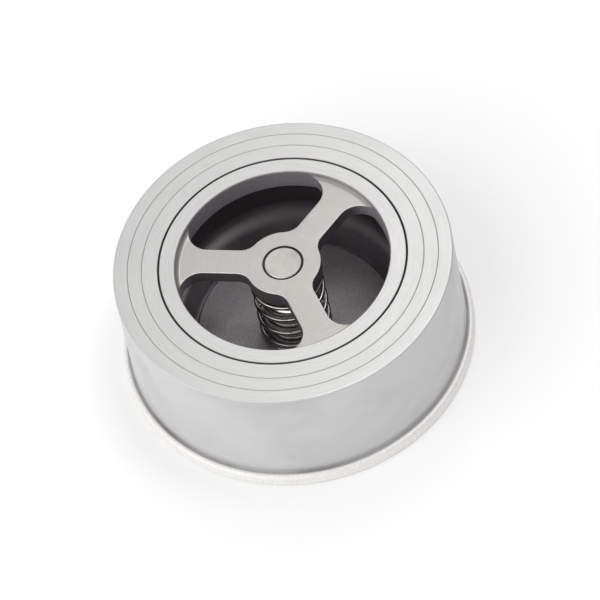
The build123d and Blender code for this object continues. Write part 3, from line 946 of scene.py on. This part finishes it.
disc_corners = [
    (THREAD_HOLE_RADIUS, WASHER_TOP_Z, 0.1),
    (NUT_POCKET_RADIUS, WASHER_TOP_Z, 0.3),
    (NUT_POCKET_RADIUS, SEAT_Z, 0.3),
    (SEAL_RADIUS - SEAL_GROOVE_HALF_WIDTH, SEAT_Z, 0.15),
    (SEAL_RADIUS - SEAL_GROOVE_HALF_WIDTH, SEAT_Z + SEAL_GROOVE_DEPTH, 0.2),
    (SEAL_RADIUS + SEAL_GROOVE_HALF_WIDTH, SEAT_Z + SEAL_GROOVE_DEPTH, 0.2),
    (SEAL_RADIUS + SEAL_GROOVE_HALF_WIDTH, SEAT_Z, 0.15),
    (DISC_RADIUS, SEAT_Z, 0.3),
    (DISC_RADIUS, DISC_TOP_Z - 0.6, 0.2),
    (DISC_RADIUS - 0.6, DISC_TOP_Z, 0.2),
    (STEM_BODY_RADIUS, DISC_TOP_Z, 0.3),
    (STEM_BODY_RADIUS, BOSS_TOP_Z, 0.3),
    (THREAD_HOLE_RADIUS, BOSS_TOP_Z, 0.1),
]
disc = make_piece("disc_turned", disc_corners, lathe, disc_steel, Turning_Radius=15 * MM, Segments=240)
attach(disc, "disc_assembly")
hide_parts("disc")


# ---------------------------------------------------------------- disc seal
# A moulded O-ring of black rubber, sprung into the groove of the disc's rim. A hair of flash runs round
# its inner and outer edge, where the two halves of the mould met.
SEAL_CORD_RADIUS = 0.75
SEAL_CENTRE_Z = SEAT_Z + 0.02 + SEAL_CORD_RADIUS

RUBBER_BLACK = (0.012, 0.012, 0.012, 1.0)
RUBBER_GREY = (0.035, 0.034, 0.034, 1.0)
seal_rubber, tree, shader = new_material("seal_rubber", Metallic=0.0, IOR=1.5)
grain_look = effect(tree, grain, Grain_Size=0.0003, Seed=12.0)
colour = blend(tree, grain_look["Stain"], RUBBER_BLACK, RUBBER_GREY, "RGBA")
roughness = spread(tree, grain_look["Grain"], 0.5, 0.7)
surface(tree, shader, colour, roughness, grain_look["Grain"], 0.006 * MM)

cord_steps = 24
seal_corners = []
for step in range(cord_steps):
    angle = 2 * math.pi * step / cord_steps
    flash = 0.04 if step in (0, cord_steps // 2) else 0.0
    reach = SEAL_CORD_RADIUS + flash
    seal_x = SEAL_RADIUS + reach * math.cos(angle)
    seal_corners.append((seal_x, SEAL_CENTRE_Z + reach * math.sin(angle), 0.0))
disc_seal = make_piece(
    "disc_seal_ring",
    seal_corners,
    lathe,
    seal_rubber,
    sharp_angle=80.0,
    Turning_Radius=SEAL_RADIUS * MM,
    Segments=240,
)
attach(disc_seal, "disc_assembly")
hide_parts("disc_seal")


# ---------------------------------------------------------------- washer and nut
# A bright washer and a thin M6 hexagon nut in the counterbore below the disc clamp it to the stem. The
# washer is punched, with one rolled edge; the nut's two faces are turned to 30 degree cones.
NUT_ACROSS_FLATS = 10.0
WASHER_RADIUS = 6.0

FASTENER_BRIGHT = (0.74, 0.73, 0.71, 1.0)
FASTENER_DULL = (0.58, 0.57, 0.56, 1.0)
fastener_steel, tree, shader = new_material("fastener_steel", Metallic=1.0)
lathe_look = effect(tree, marks, Feed=0.0003, Marks_Per_Turn=5.0, Seed=41.0)
hand_look = effect(tree, handling, Cloud_Size=0.005, Seed=7.0)
colour = blend(tree, hand_look["Smear"], FASTENER_BRIGHT, FASTENER_DULL, "RGBA")
roughness = spread(tree, lathe_look["Mark"], 0.22, 0.36, 0.3, 0.7)
roughness = plus(tree, roughness, spread(tree, hand_look["Scratch"], 0.0, 0.15))
surface(tree, shader, colour, roughness, lathe_look["Mark"], 0.003 * MM)

washer_corners = [
    (THREAD_HOLE_RADIUS, NUT_TOP_Z, 0.1),
    (WASHER_RADIUS, NUT_TOP_Z, 0.35),
    (WASHER_RADIUS, WASHER_TOP_Z, 0.1),
    (THREAD_HOLE_RADIUS, WASHER_TOP_Z, 0.25),
]
disc_washer = make_piece(
    "disc_washer_punched",
    washer_corners,
    lathe,
    fastener_steel,
    Turning_Radius=5 * MM,
    Segments=96,
)
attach(disc_washer, "disc_assembly")
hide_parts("disc_washer")

# Geometry Nodes: the nut is what a double-coned turned blank and a hexagon bar have in common.
nutting, nut_in, nut_out = new_group(
    "hexagon_nut",
    "GeometryNodeTree",
    {**SHARED_SOCKETS, "Corner Radius": ("Float", 0.006), "Centre Height": ("Float", 0.002)},
    {"Piece": "Geometry"},
)
blank = turned_blank(nutting, nut_in, 3)
bar = add_node(
    nutting, "GeometryNodeMeshCylinder", {"Vertices": 6, "Radius": nut_in["Corner Radius"], "Depth": 0.02}
).outputs["Mesh"]
middle = value_of(nutting, "CombineXYZ", {"Z": nut_in["Centre Height"]})
bar = geometry(nutting, "Transform", {"Geometry": bar, "Translation": middle})
nut_body = add_node(
    nutting,
    "GeometryNodeMeshBoolean",
    {"Mesh 2": blank},
    operation="INTERSECT",
    solver="EXACT",
)
nutting.links.new(bar, nut_body.inputs["Mesh 2"])
end_tree(nutting, nut_body.outputs[0], nut_in, nut_out)

nut_corner_radius = NUT_ACROSS_FLATS / math.sqrt(3)
cone_drop = (nut_corner_radius - NUT_ACROSS_FLATS / 2) * math.tan(math.radians(30))
thread_mouth = 0.35
nut_corners = [
    (THREAD_RADIUS + thread_mouth, NUT_BOTTOM_Z, 0.0),
    (NUT_ACROSS_FLATS / 2, NUT_BOTTOM_Z, 0.1),
    (nut_corner_radius + 0.2, NUT_BOTTOM_Z + cone_drop, 0.0),
    (nut_corner_radius + 0.2, NUT_TOP_Z - cone_drop, 0.0),
    (NUT_ACROSS_FLATS / 2, NUT_TOP_Z - 0.01, 0.1),
    (THREAD_RADIUS + thread_mouth, NUT_TOP_Z - 0.01, 0.0),
    (THREAD_RADIUS + 0.02, NUT_TOP_Z - thread_mouth, 0.0),
    (THREAD_RADIUS + 0.02, NUT_BOTTOM_Z + thread_mouth, 0.0),
]
disc_nut = make_piece(
    "disc_nut_hexagon",
    nut_corners,
    nutting,
    fastener_steel,
    sharp_angle=25.0,
    Corner_Radius=nut_corner_radius * MM,
    Centre_Height=(NUT_BOTTOM_Z + NUT_TOP_Z) / 2 * MM,
    Segments=96,
    Turning_Radius=4 * MM,
)
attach(disc_nut, "disc_assembly")
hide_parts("disc_nut")


# ---------------------------------------------------------------- spring
# A right-hand compression spring of drawn stainless wire between the disc and the hub, one closed turn
# at each end, both ends ground flat.
WIRE_RADIUS = 0.7
SPRING_RADIUS = 10.25
CLOSED_PITCH = 1.45
TURNS = 5.0
FIRST_TURN_ANGLE = 215.0

# Geometry Nodes: a straight line is wound into the coil by turn number, swept, and ground at both ends.
coiling, coil_in, coil_out = new_group(
    "compression_spring",
    "GeometryNodeTree",
    {
        "Coil Radius": ("Float", 0.01),
        "Wire Radius": ("Float", 0.001),
        "Turns": ("Float", 5.0),
        "First Angle": ("Float", 0.0),
        "Bottom": ("Float", 0.0),
        "Top": ("Float", 0.025),
        "Closed Pitch": ("Float", 0.002),
        "Points": ("Int", 480),
        "Material": ("Material", None),
    },
    {"Piece": "Geometry"},
)
line = {"Count": coil_in["Points"], "Offset": (0.0, 0.0, 0.001)}
line = geometry(coiling, "MeshLine", line)
line = geometry(coiling, "MeshToCurve", {"Mesh": line})
share = add_node(coiling, "GeometryNodeSplineParameter").outputs["Factor"]
turn_number = times(coiling, share, coil_in["Turns"])
angle = arithmetic(coiling, "MULTIPLY_ADD", turn_number, 2 * math.pi, coil_in["First Angle"])
x = times(coiling, arithmetic(coiling, "COSINE", angle), coil_in["Coil Radius"])
y = times(coiling, arithmetic(coiling, "SINE", angle), coil_in["Coil Radius"])
# the open turns take up what the closed turns and the wire leave of the height
open_turns = minus(coiling, coil_in["Turns"], 2.0)
wire = times(coiling, coil_in["Wire Radius"], 2.0)
free_height = minus(coiling, coil_in["Top"], coil_in["Bottom"])
free_height = minus(coiling, free_height, wire)
closed_rise = times(coiling, coil_in["Closed Pitch"], coil_in["Turns"])
extra_rise = minus(coiling, free_height, closed_rise)
ramp = minus(coiling, turn_number, 1.0)
ramp = arithmetic(coiling, "SMOOTH_MAX", ramp, 0.0, 0.4)
ramp = arithmetic(coiling, "SMOOTH_MIN", ramp, open_turns, 0.4)
ramp = over(coiling, ramp, open_turns)
z = times(coiling, turn_number, coil_in["Closed Pitch"])
z = arithmetic(coiling, "MULTIPLY_ADD", ramp, extra_rise, z)
z = plus(coiling, z, coil_in["Bottom"])
z = plus(coiling, z, coil_in["Wire Radius"])
# the first and last three quarters of a turn lie lower and higher, where grinding takes half the wire
from_tip = over(coiling, turn_number, 0.75)
tip = arithmetic(coiling, "MAXIMUM", minus(coiling, 1.0, from_tip), 0.0)
to_tip = over(coiling, minus(coiling, coil_in["Turns"], turn_number), 0.75)
tail = arithmetic(coiling, "MAXIMUM", minus(coiling, 1.0, to_tip), 0.0)
grind = times(coiling, minus(coiling, tail, tip), coil_in["Wire Radius"])
z = arithmetic(coiling, "MULTIPLY_ADD", grind, 0.9, z)
wound = value_of(coiling, "CombineXYZ", {"X": x, "Y": y, "Z": z})
line = geometry(coiling, "SetPosition", {"Geometry": line, "Position": wound})
line = geometry(coiling, "SetCurveNormal", {"Curve": line}, mode="Z_UP")
wire_section = geometry(
    coiling, "CurvePrimitiveCircle", {"Resolution": 20, "Radius": coil_in["Wire Radius"]}
)
coil = geometry(coiling, "CurveToMesh", {"Curve": line, "Profile Curve": wire_section, "Fill Caps": True})
place = geometry(coiling, "InputPosition")
coordinates = parts_of(coiling, place)
ground_z = arithmetic(coiling, "MAXIMUM", coordinates["Z"], coil_in["Bottom"])
ground_z = arithmetic(coiling, "MINIMUM", ground_z, coil_in["Top"])
ground = value_of(coiling, "CombineXYZ", {"X": coordinates["X"], "Y": coordinates["Y"], "Z": ground_z})
coil = geometry(coiling, "SetPosition", {"Geometry": coil, "Position": ground})
end_tree(coiling, coil, coil_in, coil_out)

WIRE_BRIGHT = (0.46, 0.44, 0.41, 1.0)
WIRE_DULL = (0.27, 0.26, 0.24, 1.0)
spring_steel, tree, shader = new_material("spring_steel", Metallic=1.0)
hand_look = effect(tree, handling, Cloud_Size=0.003, Seed=9.0)
grain_look = effect(tree, grain, Grain_Size=0.0004, Seed=14.0)
colour = blend(tree, hand_look["Smear"], WIRE_BRIGHT, WIRE_DULL, "RGBA")
roughness = spread(tree, grain_look["Stain"], 0.10, 0.18, 0.3, 0.7)
surface(tree, shader, colour, roughness, grain_look["Grain"], 0.004 * MM)

spring = make_piece(
    "spring_coiled",
    [],
    coiling,
    spring_steel,
    Coil_Radius=SPRING_RADIUS * MM,
    Wire_Radius=WIRE_RADIUS * MM,
    Turns=TURNS,
    First_Angle=math.radians(FIRST_TURN_ANGLE),
    Bottom=DISC_TOP_Z * MM,
    Top=HUB_BOTTOM_Z * MM,
    Closed_Pitch=CLOSED_PITCH * MM,
    Points=481,
)
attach(spring, "spring_end")
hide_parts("spring")
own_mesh(spring)


# ---------------------------------------------------------------- studio
# A white table that runs out to the horizon, a white surround that is brighter on the left, and three
# soft lamps behind, to the left of and above the valve. The camera looks down into the outlet.
bpy.context.scene.view_settings.view_transform = "Standard"

floor_mesh = bpy.data.meshes.new("studio_floor")
FLOOR_REACH = 4.0
floor_corners = [(x * FLOOR_REACH, y * FLOOR_REACH, 0.0) for x, y in ((-1, -1), (1, -1), (1, 1), (-1, 1))]
floor_mesh.from_pydata(floor_corners, [], [(0, 1, 2, 3)])
floor = new_object("studio_floor", floor_mesh)
floor_paint, tree, shader = new_material("floor_paint", Roughness=0.9)
shader["Base Color"].default_value = (0.93, 0.93, 0.93, 1.0)
shader["Emission Color"].default_value = (1.0, 1.0, 1.0, 1.0)
shader["Emission Strength"].default_value = 0.04
floor_mesh.materials.append(floor_paint)

world = bpy.data.worlds.new("studio")
world.use_nodes = True
room = world.node_tree
direction = add_node(room, "ShaderNodeTexCoord").outputs["Generated"]
direction = parts_of(room, direction)["X"]
brightness = spread(room, direction, 1.0, 0.20, -1.0, 1.0)
surround = room.nodes["Background"].inputs
room.links.new(brightness, surround["Strength"])
surround["Color"].default_value = (1.0, 1.0, 1.0, 1.0)
bpy.context.scene.world = world


def soft_lamp(name, place, aim, size, watts):
    """A square area lamp that faces a point."""
    lamp = bpy.data.lights.new(name, "AREA")
    lamp.size = size
    lamp.energy = watts
    holder = new_object(name, lamp)
    holder.location = place
    holder.rotation_euler = (Vector(aim) - Vector(place)).to_track_quat("-Z", "Y").to_euler()


lamp_aim = (0.0, 0.0, 0.03)
soft_lamp("back_lamp", (0.62, 0.62, 1.1), lamp_aim, 0.9, 3.2)
soft_lamp("left_lamp", (-0.92, -0.45, 0.75), lamp_aim, 1.4, 5.5)
soft_lamp("top_lamp", (0.35, -0.05, 1.25), lamp_aim, 0.5, 3.9)

CAMERA_ELEVATION = 54.5
CAMERA_TURN = -13.0
CAMERA_ROLL = -12.6
outlet_centre = Vector((0.0, 0.0, OUTLET_Z * MM))
outlet_seen_at = Vector((-0.00525, 0.0120, -1.053))
camera_data = bpy.data.cameras.new("camera")
camera_data.sensor_width = 36.0
camera_data.lens = 216.0
camera = new_object("camera", camera_data)
look = (
    Matrix.Rotation(math.radians(CAMERA_TURN), 3, "Z")
    @ Matrix.Rotation(math.radians(90.0 - CAMERA_ELEVATION), 3, "X")
    @ Matrix.Rotation(math.radians(CAMERA_ROLL), 3, "Z")
)
camera.matrix_world = Matrix.Translation(outlet_centre - look @ outlet_seen_at) @ look.to_4x4()
bpy.context.scene.camera = camera
